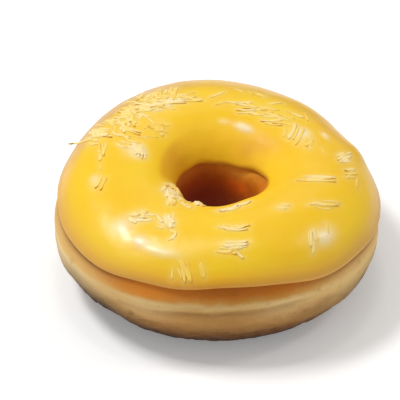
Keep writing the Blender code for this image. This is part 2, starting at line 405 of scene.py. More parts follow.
# Paler tints below the band: middle and spread round the ring, and the levels where they start and are full
BAND_TOP = 0.08
BLOND = (25, 10, -0.50, -0.10)
TAN = (-46, 12, -0.30, -0.05)
FAIR = (-64, 20, -0.30, -0.10)

# How far behind the middle the back's tint starts and is full, and the level that stands for the whole hole
BACK = (0.0, 0.6)
HOLE_LEVEL = 0.3

# Painted contact shade at the foot of the side: its height, where it reaches higher or is darker (middle,
# spread, gain), and its fading
FOOT_SHADE_HEIGHT = 0.0145
FOOT_SHADE_ON_FLANKS = (62, 26, 0.0048)
FOOT_SHADE_ON_LEFT = (-48, 18, 0.0016)
FOOT_SHADE_FADE = 0.0100
FOOT_SHADE_STRENGTH = 0.72
FOOT_SHADE_DARKEST = (-38, 18, 0.6)

# Shade under the icing's outer edge, stronger on the flanks
LIP_SHADE = 0.085
LIP_SHADE_STRENGTH = 0.3
LIP_SHADE_FLANKS = 1.0

# Depth at which a hollow of the relief gets its full painted shade
FULL_DEPTH = 0.0006

# The hole: painted light towards its right side and along its rim, stronger on the right, and painted shade
# over its bottom, less on its right wall
IN_HOLE_FADE = 0.4
HOLE_LIT_TURN = 0.25
RIM_LIGHT_REACH = 0.22
RIM_LIGHT_STRENGTH = 0.35
RIM_LIGHT_ON_RIGHT = (145, 28, 0.65)
SUNK_SHADE_HEIGHTS = (0.012, 0.025)
LIT_RIGHT_WALL = (138, 26, 0.65)

# Painted light in redder, lighter patches in the hole, and painted shade in a darker one: theta, phi, their
# spreads (degrees) and strength
HOLE_LIGHT_PATCHES = ((140, 178, 16, 12, 0.9), (160, 176, 12, 10, 0.5))
HOLE_SHADE_PATCHES = ((104, 162, 14, 10, 0.7),)


def paint_side(crust, around, phi, height, edge):
    """Shades of the crust's side, between the underside and the icing."""
    outside = phi < math.pi / 2
    turn = np.degrees(turn_from(around, 0))
    flank = plateau(np.abs(turn), FLANKS)
    level = phi - band(around)
    level = np.where(level < 0, level * (1 - FLANK_SPREAD * flank), level)
    paint_values(crust, "above_band", np.where(outside, level, HOLE_LEVEL))
    paint_values(crust, "flank", flank)
    paint_values(crust, "front", swell(turn, FRONT) * outside)
    paint_values(crust, "amber", swell(turn, AMBER) * rise(level, *AMBER_LEVELS) * outside)
    below_band = 1 - rise(level, 0.0, BAND_TOP)
    for name, place, term in (("blond", np.abs(turn), BLOND), ("tan", turn, TAN), ("fair", turn, FAIR)):
        middle, wide, start, end = term
        tint = gauss((place - middle) / wide) * below_band * rise(level, start, end)
        paint_values(crust, name, tint * outside)
    paint_values(crust, "back", rise(-np.cos(around), *BACK) * outside)
    # Painted contact shade along the foot of the side
    foot = FOOT_SHADE_HEIGHT + swell(np.abs(turn), FOOT_SHADE_ON_FLANKS) + swell(turn, FOOT_SHADE_ON_LEFT)
    low = np.clip((foot - height) / FOOT_SHADE_FADE, 0, 1) * (FOOT_SHADE_STRENGTH + swell(turn, FOOT_SHADE_DARKEST))
    paint_values(crust, "low", np.clip(low, 0, 1) * outside)
    below_icing = np.clip(edge - phi, 0, 1)
    shade = gauss(below_icing / LIP_SHADE) * outside
    paint_values(crust, "under_lip", shade * (LIP_SHADE_STRENGTH + LIP_SHADE_FLANKS * flank))


def paint_hole(crust, around, phi, height, high):
    """Shades of the crust in the hole."""
    inside = phi > math.pi / 2
    turn = np.degrees(turn_from(around, 0))
    paint_values(crust, "in_hole", np.clip((phi - math.pi / 2) / IN_HOLE_FADE, 0, 1))
    paint_values(crust, "hole_front", np.clip(np.cos(around), 0, 1) * inside)
    # Painted light: the hole grows lighter towards its right side
    paint_values(crust, "hole_lit_right", 0.5 + 0.5 * np.sin(around + HOLE_LIT_TURN))
    # Painted light on the crust just inside the icing's edge in the hole, stronger on the right
    rim = gauss(np.clip(phi - high, 0, 1) / RIM_LIGHT_REACH) * inside
    paint_values(crust, "hole_rim_light", rim * (RIM_LIGHT_STRENGTH + swell(turn, RIM_LIGHT_ON_RIGHT)))
    # Painted shade over the hole's bottom, less of it on the lit right wall
    lit_right_wall = swell(turn, LIT_RIGHT_WALL) * inside
    paint_values(crust, "sunk_shade", (1 - rise(height, *SUNK_SHADE_HEIGHTS)) * (1 - lit_right_wall))
    # Painted light in lighter patches and painted shade in a darker one
    paint_values(crust, "hole_light_patch", bumps(HOLE_LIGHT_PATCHES, around, phi))
    paint_values(crust, "hole_shade_patch", bumps(HOLE_SHADE_PATCHES, around, phi))


# ---- what is painted on the icing ----
# Its edges: how far the edge's tint reaches, and how near to the hole's edge it ends, less so on the right
EDGE_REACH = 0.35
HOLE_EDGE_NEAR = 2.2
HOLE_EDGE_RIGHT = (125, 32, -1.2)

# Its thin outer half: phi where it ends (degrees), and distances from the edge
THIN_PHI = (60, 80)
THIN_REACH = (0.02, 0.5)

# Painted shade on the outer side of the icing at its rear: how far behind the middle it starts and is full,
# its phi (degrees, more right behind), how it fades, its strength, and what it gains on the left
REAR_FROM = (-0.15, 0.45)
REAR_PHI = 40
REAR_PHI_BEHIND = 22
REAR_FADE = 0.28
REAR_STRENGTH = 0.72
REAR_LEFT = 0.58
REAR_LEFT_BY = 0.6

# The funnel into the hole, with painted shade on its left: theta from, full, full, to, and phi (degrees)
FUNNEL_PHI = 100
FUNNEL_FADE = 0.35
FUNNEL_SHADE_TURNS = (-150, -118, -82, -66)
FUNNEL_SHADE_PHI = (117, 124)

# Painted shade in duller patches on the right wall of the funnel: theta, phi, their spreads (degrees) and
# strength
FUNNEL_SHADE_SPOTS = ((132, 117, 14, 12, 0.75), (145, 132, 11, 11, 0.9))

# Hazier, paler patches, and places that are less so, in the same terms: partly painted highlight glows,
# partly paleness round clusters of shreds
HIGHLIGHT_HAZE = ((-49, 66, 6, 9, 0.8), (-35, 63, 5, 5, 0.5), (-23, 61, 9, 4, 0.6), (118, 88, 8, 8, 0.7),
        (89, 59, 4, 5, 0.5), (-44, 82, 6, 5, 0.4), (-29, 86, 6, 5, 0.5), (-52, 121, 10, 10, 0.6),
        (-27, 114, 8, 5, 0.5), (-78, 69, 4, 5, 0.35), (-57, 66, 6, 7, -0.6), (-130, 76, 16, 12, 0.3),
        (-144, 59, 12, 6, -0.5), (-100, 98, 7, 8, 0.5), (47, 52, 5, 6, 0.3), (7, 113, 7, 5, 0.6),
        (23, 111, 7, 5, 0.4), (-132, 98, 10, 8, 0.2), (-109, 64, 7, 9, 0.4))

# Paleness close to a strip: the strip's width that gives all of it (creamier ones count as wider), and reach
CLOUD_WIDTH = 0.0008
CLOUD_LEAST = 0.4
CLOUD_CREAMY = 0.6
CLOUD_REACH = 0.0012


def paint_glaze(glaze, around, phi, edge, high):
    """Shades of the icing."""
    turn = np.degrees(turn_from(around, 0))
    hole_side = (HOLE_EDGE_NEAR + swell(turn, HOLE_EDGE_RIGHT)) * (high - phi)
    from_edge = np.minimum(phi - edge, hole_side)
    paint_values(glaze, "from_edge", np.clip(from_edge / EDGE_REACH, 0, 1))
    # Paleness of the drops, partly a painted highlight
    paint_values(glaze, "drop_highlight", np.clip(bumps(DROPS, around, phi) / DROP_HIGHLIGHT_HEIGHT, 0, 1))
    # Partly painted highlight glows, partly paleness round clusters of shreds
    paint_values(glaze, "highlight_haze", np.clip(bumps(HIGHLIGHT_HAZE, around, phi), 0, 1))
    outer_half = 1 - rise(phi, *np.radians(THIN_PHI))
    paint_values(glaze, "thin", outer_half * np.abs(np.sin(around)) * (1 - rise(from_edge, *THIN_REACH)))
    # Painted shade on the outer side of the icing at its rear
    behind = -np.cos(around)
    crown = np.radians(REAR_PHI + REAR_PHI_BEHIND * behind)
    rear_shade = rise(behind, *REAR_FROM) * (1 - rise(phi - crown, 0.0, REAR_FADE))
    paint_values(glaze, "rear_shade", rear_shade * (REAR_STRENGTH + REAR_LEFT * rise(-np.sin(around), 0, REAR_LEFT_BY)))
    paint_values(glaze, "funnel", np.clip((phi - math.radians(FUNNEL_PHI)) / FUNNEL_FADE, 0, 1))
    # Painted shade on the funnel's left and in patches on its right wall
    funnel_shade = plateau(turn, FUNNEL_SHADE_TURNS) * rise(np.degrees(phi), *FUNNEL_SHADE_PHI)
    paint_values(glaze, "funnel_shade", np.clip(funnel_shade + bumps(FUNNEL_SHADE_SPOTS, around, phi), 0, 1))


def cloud_icing(glaze, laid):
    """Paleness of the icing close to a shred."""
    tree = kdtree.KDTree(len(laid))
    for i, (point, _) in enumerate(laid):
        tree.insert(point, i)
    tree.balance()
    pale = []
    for vertex in glaze.data.vertices:
        _, i, distance = tree.find(vertex.co)
        pale.append(min(1.0, laid[i][1] / CLOUD_WIDTH) * math.exp(-(distance / CLOUD_REACH) ** 2))
    paint_values(glaze, "cloud", np.array(pale))


# ---- shreds, scraps and flakes ----
# Groups: theta, phi, their spreads, heading and its spread (degrees), mean length and number of strips.
# Heading is 0 along the ring and 90 across it. The shreds are the ones that are fused to the solid icing.
SHRED_SEED = 41
SHRED_WIDTH = 0.0010
SHRED_GROUPS = (
    (-112, 60, 3, 6, 68, 6, 0.0085, 5),
    (-129, 68, 6, 7, -76, 14, 0.0055, 6),
    (-139, 80, 6, 5, -52, 12, 0.0055, 4),
    (-149, 84, 5, 4, -14, 8, 0.0090, 3),
    (-163, 85, 4, 3, -11, 8, 0.0070, 3),
    (-155, 76, 4, 6, 62, 8, 0.0060, 2),
    (-147, 68, 3, 4, 33, 10, 0.0062, 2),
    (-122, 79, 4, 5, 36, 12, 0.0042, 3),
    (-114, 86, 5, 5, 82, 14, 0.0042, 2),
    (-98, 73, 5, 3, 14, 6, 0.0050, 3),
    (-100, 98, 2, 3, 14, 14, 0.0045, 3),
    (-127, 99, 5, 4, -60, 25, 0.0045, 1),
    (-66, 134, 3, 3, -70, 5, 0.0062, 2),
    (-50, 121, 5, 5, -40, 8, 0.0070, 4),
    (-42, 124, 5, 3, 0, 18, 0.0046, 2),
    (-57, 136, 4, 3, -19, 8, 0.0044, 2),
    (-20, 126, 5, 3, -60, 14, 0.0036, 3),
    (-44, 82, 3, 3, 30, 30, 0.0036, 2),
    (-30, 87, 4, 3, -28, 20, 0.0042, 2),
    (-21, 75, 1, 1, 84, 8, 0.0024, 1),
    (-11, 45, 3, 3, -68, 6, 0.0054, 3),
    (-76, 70, 2, 3, -31, 8, 0.0042, 2),
    (9, 69, 2, 2, -5, 5, 0.0070, 2),
    (7, 63, 3, 2, -9, 8, 0.0040, 2),
    (10, 61, 1, 2, -43, 10, 0.0026, 1),
    (10.5, 86.5, 2, 3, -9, 5, 0.0072, 3),
    (9, 110, 3, 2, 20, 6, 0.0050, 2),
    (24, 116, 3, 2, 2, 6, 0.0044, 2),
    (41.5, 57, 1, 1, 57, 4, 0.0042, 2),
    (77, 85, 2, 3, -71, 4, 0.0098, 2),
    (59.5, 71.5, 2, 2, -51, 4, 0.0070, 3),
    (99, 62, 2, 2.5, -47, 5, 0.0070, 3),
    (89, 60, 2, 2, -62, 6, 0.0038, 2),
    (84, 53, 2, 1, 10, 8, 0.0036, 1),
    (123, 90, 3, 3, -48, 5, 0.0060, 3),
    (113, 84, 5, 8, -40, 16, 0.0044, 1),
    (161, 88, 7, 5, 15, 8, 0.0058, 5),
    (144, 92, 6, 4, 30, 12, 0.0060, 3),
    (132, 66, 10, 5, 5, 25, 0.0048, 2),
)

# The shred that sticks out at the left: theta, phi, heading (degrees), length and lift of its free end
LONE_SHRED = (-109, 45, -95, 0.0090, 0.0022)
LONE_SHRED_BEND = 0.3

# Broad thin flakes
FLAKE_SEED = 5
FLAKE_GROUPS = (
    (-100, 98, 3, 4, 14, 16, 0.0034, 4),
    (-129, 72, 8, 8, -76, 25, 0.0036, 8),
    (-152, 85, 8, 2, -8, 8, 0.0046, 6),
    (-112, 60, 4, 6, 68, 10, 0.0044, 4),
    (-66, 134, 4, 3, -70, 8, 0.0036, 4),
    (-50, 122, 6, 6, -42, 14, 0.0040, 11),
    (-40, 108, 3, 3, -42, 10, 0.0034, 3),
    (-42, 124, 5, 3, 0, 16, 0.0030, 3),
    (-20, 126, 4, 3, -50, 20, 0.0028, 4),
    (9, 110, 4, 2, 20, 8, 0.0034, 3),
    (24, 116, 4, 2, 2, 8, 0.0030, 2),
    (-30, 87, 4, 3, -28, 20, 0.0028, 3),
    (-44, 80, 3, 4, 30, 25, 0.0026, 2),
    (123, 90, 3, 4, -48, 8, 0.0034, 1),
    (10, 69, 3, 2, -6, 5, 0.0036, 3),
    (98, 62, 3, 3, -48, 8, 0.0032, 2),
)

# Fine strips and scraps among the large ones
FINE_SEED = 23
FINE_GROUPS = (
    (-113, 60, 5, 9, 68, 14, 0.0044, 14),
    (-129, 71, 8, 8, -76, 25, 0.0040, 22),
    (-140, 80, 9, 8, -50, 25, 0.0040, 20),
    (-122, 79, 6, 6, 36, 30, 0.0036, 12),
    (-154, 82, 12, 7, -14, 20, 0.0044, 20),
    (-155, 74, 6, 7, 62, 14, 0.0036, 9),
    (-148, 66, 9, 7, 30, 40, 0.0040, 8),
    (-98, 73, 7, 4, 12, 12, 0.0030, 8),
    (-107, 64, 6, 9, 66, 18, 0.0040, 9),
    (-112, 87, 7, 6, 82, 30, 0.0034, 6),
    (-100, 99, 5, 7, 14, 40, 0.0030, 7),
    (-65, 134, 4, 4, -70, 14, 0.0034, 8),
    (-50, 121, 8, 8, -42, 16, 0.0034, 16),
    (-40, 108, 4, 4, -42, 14, 0.0034, 6),
    (-43, 125, 6, 4, 0, 25, 0.0028, 8),
    (-20, 126, 5, 3, -50, 30, 0.0026, 6),
    (-27, 113, 5, 3, -20, 25, 0.0028, 6),
    (-131, 99, 11, 7, -60, 40, 0.0034, 14),
    (-44, 82, 5, 5, 30, 50, 0.0028, 8),
    (-29, 86, 6, 6, -28, 50, 0.0028, 8),
    (-21, 75, 1.5, 2, 84, 10, 0.0020, 2),
    (-23, 80, 2, 1, -17, 10, 0.0022, 2),
    (-14, 44, 0.5, 1, -60, 3, 0.0046, 1),
    (-17, 42, 1, 1, -80, 3, 0.0026, 1),
    (-8, 48, 2, 3, -78, 4, 0.0036, 2),
    (9, 68, 5, 5, -5, 12, 0.0040, 8),
    (11, 87, 5, 3, -9, 12, 0.0040, 5),
    (9, 110, 6, 3, 20, 12, 0.0032, 4),
    (25, 116, 6, 3, 2, 12, 0.0032, 4),
    (44.5, 54, 4, 5, 54, 10, 0.0028, 4),
    (77, 85, 4, 4, -70, 6, 0.0056, 3),
    (59, 72, 4, 4, -51, 8, 0.0046, 4),
    (42, 90, 3, 2, -31, 10, 0.0026, 3),
    (100, 62, 4, 4, -46, 9, 0.0040, 4),
    (89, 58, 5, 4, -60, 20, 0.0034, 3),
    (123, 89, 5, 7, -47, 9, 0.0038, 2),
    (112, 84, 6, 9, -25, 40, 0.0030, 5),
    (150, 88, 14, 9, 18, 14, 0.0044, 14),
    (165, 72, 16, 16, 10, 40, 0.0040, 8),
)

# Standard deviation of the draws, as a share of a group's spread
GROUP_SPREAD = 0.6

# How far a group's own seed moves on for each degree of theta
SEED_STEP = 7

# Form of a strip: stations along it, its eight-sided section, its twist, and how its ends and edges vary
STATIONS = 11
STRIP_SECTION = np.array(((-1, 0), (-0.8, -0.7), (0, -1), (0.8, -0.7),
                          (1, 0), (0.8, 0.7), (0, 1), (-0.8, 0.7)))
UP_STEP = 0.001
TWIST = 0.5
END_TAPER = 0.5
END_THINNING = 0.3
EDGE_WAVE = 0.15
EDGE_WAVES = 9
WAVE_SHIFT = 6.28

# Random part of a strip's creaminess, and where the strips are creamier than elsewhere: theta, phi, their
# spreads (degrees) and gain
RANDOM_CREAM = 0.5
CREAMY = ((-135, 76, 30, 16, 0.2), (-152, 85, 10, 5, 0.4), (-52, 123, 14, 12, 0.52), (-100, 98, 8, 9, 0.5),
          (-29, 87, 7, 6, 0.4), (-43, 81, 6, 6, 0.45), (-21, 74, 4, 5, 0.2), (-20, 126, 8, 6, 0.5),
          (-28, 114, 6, 5, 0.35), (9, 110, 8, 5, 0.5), (24, 116, 8, 5, 0.3), (11, 86, 8, 5, 0.1),
          (122, 88, 7, 8, 0.1), (9, 68, 7, 4, 0.3), (79, 82, 6, 8, 0.3), (100, 60, 6, 6, 0.3),
          (-112, 58, 6, 8, 0.35), (-98, 74, 8, 8, -0.15), (-14, 44, 1.5, 6, 0.4), (-9, 46, 4, 10, -0.3),
          (41, 57, 4, 6, 0.25), (-131, 99, 11, 8, -0.25), (161, 90, 10, 6, 0.2))


class Kind(NamedTuple):
    """How one kind of strip is drawn and laid; pairs are the least and the most."""
    lengths: tuple      # as shares of the group's mean length
    widths: tuple
    first_ends: tuple   # how far the first end lifts off
    last_ends: tuple
    bends: tuple        # turn along the length, in radians
    clearance: float    # from the icing's edges, in radians
    thickness: float
    lift: float         # over the icing
    seed: int           # of the tints, twists and wavy edges


SHRED = Kind(lengths=(0.75, 1.2), widths=(0.75 * SHRED_WIDTH, 1.15 * SHRED_WIDTH),
             first_ends=(0.0001, 0.0003), last_ends=(0.0001, 0.0005), bends=(-0.5, 0.15),
             clearance=2 * LIP, thickness=0.00026, lift=0.00003, seed=7)
SCRAP = Kind(lengths=(0.7, 1.25), widths=(0.0005, 0.0010),
             first_ends=(0.0, 0.0001), last_ends=(0.0, 0.00018), bends=(-0.7, 0.7),
             clearance=LIP, thickness=0.00022, lift=0.0, seed=8)
FLAKE = SCRAP._replace(widths=(0.0010, 0.0016), thickness=0.0002, lift=0.00002, seed=9)


def scatter(groups, kind, draws):
    """Every strip as (length, theta, phi, heading, width, ends, bend); draws has a random source a group."""
    strips = []
    for (t, p, spread_t, spread_p, heading, spread_h, mean, number), draw in zip(groups, draws):
        for _ in range(number):
            length = mean * draw.uniform(*kind.lengths)
            theta = math.radians(draw.gauss(t, spread_t * GROUP_SPREAD))
            phi = math.radians(draw.gauss(p, spread_p * GROUP_SPREAD))
            turn = math.radians(draw.gauss(heading, spread_h * GROUP_SPREAD))
            reach = abs(0.5 * length * math.sin(turn)) / OUTER_HALF_WIDTH + kind.clearance
            phi = min(max(phi, outer_edge(theta) + reach), hole_edge(theta) - reach)
            width = draw.uniform(*kind.widths)
            ends = (draw.uniform(*kind.first_ends), draw.uniform(*kind.last_ends))
            strips.append((length, theta, phi, turn, width, ends, draw.uniform(*kind.bends)))
    return strips


def own_draws(groups, seed):
    """A random source for each group, so that the groups don't change one another."""
    return [random.Random(seed + SEED_STEP * t + p) for t, p, *_ in groups]


def shred_strips():
    """The shreds and the lone one that sticks out, longest first, from the same draws as in the part."""
    shared = random.Random(SHRED_SEED)
    strips = scatter(SHRED_GROUPS, SHRED, [shared] * len(SHRED_GROUPS))
    t, p, heading, length, raised = LONE_SHRED
    angles = (math.radians(t), math.radians(p), math.radians(heading))
    ends = (SHRED.first_ends[0], raised)
    strips.append((length, *angles, SHRED_WIDTH, ends, LONE_SHRED_BEND))
    return sorted(strips, reverse=True)


def strip_rings(strip, kind, twist, wobble):
    """Middle line of a strip laid on the icing, and the ring of points round it at each station."""
    length, theta, phi, heading, width, ends, bend = strip
    steps = np.linspace(-0.5, 0.5, STATIONS)
    turn = heading + bend * steps
    pace = length / (STATIONS - 1)
    along = np.concatenate(((0,), np.cumsum(np.cos(turn[:-1]) * pace)))
    across = np.concatenate(((0,), np.cumsum(np.sin(turn[:-1]) * pace)))
    half_way = STATIONS // 2
    t = theta + (along - along[half_way]) / (RING_RADIUS + OUTER_HALF_WIDTH * math.cos(phi))
    p = phi + (across - across[half_way]) / OUTER_HALF_WIDTH
    lifted = np.where(steps < 0, ends[0], ends[1]) * (2 * np.abs(steps)) ** 2
    top = ICING_TOP + unevenness(t, p) + kind.lift
    middle = surface(t, p, top + lifted)
    up = surface(t, p, top + UP_STEP) - middle
    run = np.gradient(middle, axis=0)
    run /= np.linalg.norm(run, axis=1)[:, None]
    side = np.cross(run, up)
    side /= np.linalg.norm(side, axis=1)[:, None]
    over = np.cross(side, run)
    angle = (twist * steps * 2)[:, None]
    side, over = side * np.cos(angle) + over * np.sin(angle), over * np.cos(angle) - side * np.sin(angle)
    tapered = 1 - END_TAPER * (2 * np.abs(steps)) ** 3
    half = 0.5 * width * tapered * (1 + EDGE_WAVE * np.sin(EDGE_WAVES * steps + wobble))
    thick = 0.5 * kind.thickness * (1 - END_THINNING * np.abs(2 * steps))
    wide = STRIP_SECTION[None, :, :1] * half[:, None, None] * side[:, None, :]
    tall = STRIP_SECTION[None, :, 1:] * thick[:, None, None] * over[:, None, :]
    return middle, middle[:, None, :] + wide + tall


def tube_faces(first, stations, ring):
    """Quads along a tube whose points start at first, and a face at both ends."""
    faces = []
    for i in range(stations - 1):
        a = first + i * ring
        for j in range(ring):
            k = (j + 1) % ring
            faces.append((a + j, a + ring + j, a + ring + k, a + k))
    last = first + (stations - 1) * ring
    faces.append(tuple(first + j for j in range(ring)))
    faces.append(tuple(last + j for j in reversed(range(ring))))
    return faces


def make_strips(name, strips, kind, laid):
    """Flat, curved, slightly twisted strips with uneven edges, all in one mesh; laid collects their run."""
    ring = len(STRIP_SECTION)
    points, faces, tints = [], [], []
    for strip in strips:
        length, theta, phi, _, width, _, _ = strip
        draw = random.Random(kind.seed + length)
        tint = RANDOM_CREAM * draw.random() + bumps(CREAMY, theta, phi)
        twist = draw.uniform(-TWIST, TWIST)
        middle, rings = strip_rings(strip, kind, twist, draw.uniform(0, WAVE_SHIFT))
        laid.extend((Vector(point), width * (CLOUD_LEAST + CLOUD_CREAMY * tint)) for point in middle)
        faces += tube_faces(len(points) * STATIONS * ring, STATIONS, ring)
        points.append(rings)
        tints += [tint] * (ring * STATIONS)
    made = mesh_object(name, np.array(points), faces)
    paint_values(made, "tint", np.clip(np.array(tints), 0, 1))
    return made


# ---- materials ----
def srgb(*tones):
    """Linear colour with alpha from red, green and blue of 0 to 255."""
    shares = [tone / 255 for tone in tones]
    return tuple(c / 12.92 if c <= 0.04045 else ((c + 0.055) / 1.055) ** 2.4 for c in shares) + (1.0,)


class Nodes:
    """A Principled material and short ways to feed its shader."""

    def __init__(self, name):
        self.material = bpy.data.materials.new(name)
        self.material.use_nodes = True
        self.tree = self.material.node_tree
        self.shader = self.tree.nodes["Principled BSDF"]

    def add(self, kind, **settings):
        node = self.tree.nodes.new(kind)
        for key, value in settings.items():
            setattr(node, key, value)
        return node

    def feed(self, value, socket):
        if isinstance(value, (int, float, tuple)):
            socket.default_value = value
        else:
            self.tree.links.new(value, socket)

    def noise(self, scale, detail, rough):
        node = self.add("ShaderNodeTexNoise")
        self.feed(self.add("ShaderNodeTexCoord").outputs["Object"], node.inputs["Vector"])
        self.feed(scale, node.inputs["Scale"])
        self.feed(detail, node.inputs["Detail"])
        self.feed(rough, node.inputs["Roughness"])
        return node.outputs["Fac"]

    def attribute(self, name):
        return self.add("ShaderNodeAttribute", attribute_name=name).outputs["Fac"]

    def math(self, operation, a, b):
        node = self.add("ShaderNodeMath", operation=operation)
        self.feed(a, node.inputs[0])
        self.feed(b, node.inputs[1])
        return node.outputs[0]

    def times(self, a, b):
        return self.math("MULTIPLY", a, b)

    def remap(self, value, start, end):
        """Takes the range start onto the range end, both as (low, high), and holds what lies outside."""
        node = self.add("ShaderNodeMapRange")
        self.feed(value, node.inputs["Value"])
        for key, number in zip(("From Min", "From Max", "To Min", "To Max"), start + end):
            self.feed(number, node.inputs[key])
        return node.outputs["Result"]

    def ramp(self, value, stops):
        node = self.add("ShaderNodeValToRGB")
        self.feed(value, node.inputs["Fac"])
        elements = node.color_ramp.elements
        while len(elements) < len(stops):
            elements.new(0.5)
        for element, (place, tones) in zip(elements, stops):
            element.position = place
            element.color = srgb(*tones)
        return node.outputs["Color"]

    def mix(self, amount, a, b, blend="MIX"):
        node = self.add("ShaderNodeMix", data_type="RGBA", blend_type=blend)
        colours = [s for s in node.inputs if s.type == "RGBA"]
        self.feed(amount, node.inputs[0])
        self.feed(a, colours[0])
        self.feed(b, colours[1])
        return [s for s in node.outputs if s.type == "RGBA"][0]

    def cover(self, colour, value, start, end, tones):
        """Lays tones over a colour, as strongly as value says once the range start is taken onto end."""
        return self.mix(self.remap(value, start, end), colour, srgb(*tones))

    def tint(self, colour, tints, blend="MIX"):
        """Lays tints over a colour in turn, each given as its attribute, strength and tones."""
        for name, strength, tones in tints:
            colour = self.mix(self.times(self.attribute(name), strength), colour, srgb(*tones), blend)
        return colour

    def bump(self, height, strength, distance):
        node = self.add("ShaderNodeBump")
        self.feed(strength, node.inputs["Strength"])
        self.feed(distance, node.inputs["Distance"])
        self.feed(height, node.inputs["Height"])
        self.feed(node.outputs["Normal"], self.shader.inputs["Normal"])

    def set(self, **values):
        for key, value in values.items():
            self.feed(value, self.shader.inputs[key.replace("_", " ")])


# Shades of the side from the underside up to the icing: level over the pale band (radians) and tones. The
# darkest ones, at the underside, are browning together with painted contact shade.
LEVELS = (-1.4, 0.5)
BROWNED_SIDE_AND_FOOT_SHADE = ((-1.4, (50, 28, 16)), (-1.0, (80, 48, 26)), (-0.8, (118, 76, 40)), (-0.62, (156, 106, 54)),
                (-0.42, (186, 134, 70)), (-0.24, (202, 150, 82)), (-0.16, (196, 146, 82)),
                (-0.10, (218, 174, 104)), (0.0, (228, 190, 122)), (0.08, (212, 152, 68)),
                (0.18, (206, 122, 34)), (0.34, (198, 111, 25)), (0.5, (188, 116, 48)))

# The same on the flanks, which are paler, as shares of the way up
PALE_SIDE = ((0.0, (60, 34, 20)), (0.35, (176, 130, 78)), (0.7, (236, 200, 134)), (0.86, (230, 192, 116)),
             (1.0, (218, 176, 92)))
SIDE_UNEVEN = 0.16
FLANK_PALENESS = 0.75

# Tones of the hole, from its shaded left to its lit right as painted light and shade, and those of its
# unevenness, with how strong that is
HOLE_SHADED_LEFT_TONES = (180, 72, 0)
HOLE_LIT_RIGHT_TONES = (232, 136, 16)
HOLE_UNEVEN_TONES = (160, 70, 4)
HOLE_UNEVEN = 0.3

# Browner marks in the hole, fine specks, and painted shade in the hollows of the relief: the range of the
# noise or of the depth, the strengths at its two ends, and tones
HOLE_MARKS = ((0.50, 0.66), (0.0, 0.55), (160, 48, 4))
SPECKS = ((0.62, 0.72), (0.0, 0.18), (136, 88, 40))
HOLLOW_SHADE = ((0.25, 1.0), (0.0, 0.25), (130, 84, 40))

# Tints of the crust, laid on in this order: attribute, strength and tones
# In the hole, the darker bottom and the darker patch are painted shade, and the lighter patches painted light
HOLE_TINTS = (("sunk_shade", 0.75, (130, 30, 0)), ("hole_light_patch", 0.8, (255, 124, 18)), ("hole_shade_patch", 0.7, (176, 84, 6)),
              ("hole_front", 0.7, (176, 112, 56)))
SIDE_TINTS = (("amber", 0.7, (230, 142, 48)), ("blond", 0.4, (236, 206, 150)), ("tan", 0.35, (196, 144, 70)),
              ("fair", 0.6, (250, 222, 168)), ("back", 0.45, (186, 132, 74)))
FRONT_TINTS = (("front", 0.6, (226, 224, 224)),)
# Laid on last: painted shade under the icing's outer edge, painted light on the hole's rim and painted
# contact shade at the foot
LAST_TINTS = (("under_lip", 0.5, (120, 66, 22)), ("hole_rim_light", 0.95, (255, 184, 66)),
              ("low", 0.97, (62, 40, 26)))

# Tones of the icing, and the range of the noise that leads from one to the other
ICING_TONES = ((255, 199, 4), (255, 207, 16))
ICING_TONE_RANGE = (0.35, 0.65)

# Its two tints towards the edge, in the terms of HOLE_MARKS, by the share of EDGE_REACH from the edge, and
# what is laid over each
NEAR_EDGE = ((0.0, 0.9), (0.65, 0.0), (232, 150, 10))
# The funnel's tint, then painted shade on its left and in patches on its right wall
INNER_TINTS = (("funnel", 0.5, (255, 200, 0)), ("funnel_shade", 0.45, (216, 142, 0)))
OUTERMOST = ((0.0, 0.55), (0.6, 0.0), (176, 108, 30))
# Of these, the rear's tint is painted shade, and the haze and the drops' paleness are partly painted
# highlights
ICING_TINTS = (("thin", 0.7, (228, 180, 90)), ("rear_shade", 0.62, (206, 150, 34)), ("highlight_haze", 0.6, (255, 224, 144)),
               ("cloud", 0.6, (255, 220, 120)), ("drop_highlight", 0.8, (255, 236, 196)))

# Tones of the shreds from yellow to cream
SHRED_TONES = ((0.0, (255, 208, 66)), (0.2, (255, 217, 104)), (0.55, (255, 229, 154)), (1.0, (255, 240, 208)))
SHRED_GRAIN_TONES = (255, 220, 120)
SHRED_GRAIN = 0.25

# Roughness at the two ends of the range that a noise mostly keeps to
NOISE_RANGE = (0.3, 0.7)
CRUST_ROUGHNESS = (0.62, 0.82)
ICING_ROUGHNESS = (0.30, 0.38)
SHRED_ROUGHNESS = (0.4, 0.6)
FLOOR_ROUGHNESS = 0.9

# The icing is rougher in the funnel and near its edges, where its glossy coat ends too
FUNNEL_ROUGHER = 0.3
EDGE_ROUGHER = 0.25
EDGE_ROUGHER_TO = 0.6
COAT = 0.14
COAT_FROM_EDGE = (0.1, 0.8)

# Share of the fine noise in the bumps of the crust and of the icing
CRUST_FINE_BUMPS = 0.5
ICING_FINE_BUMPS = 0.06


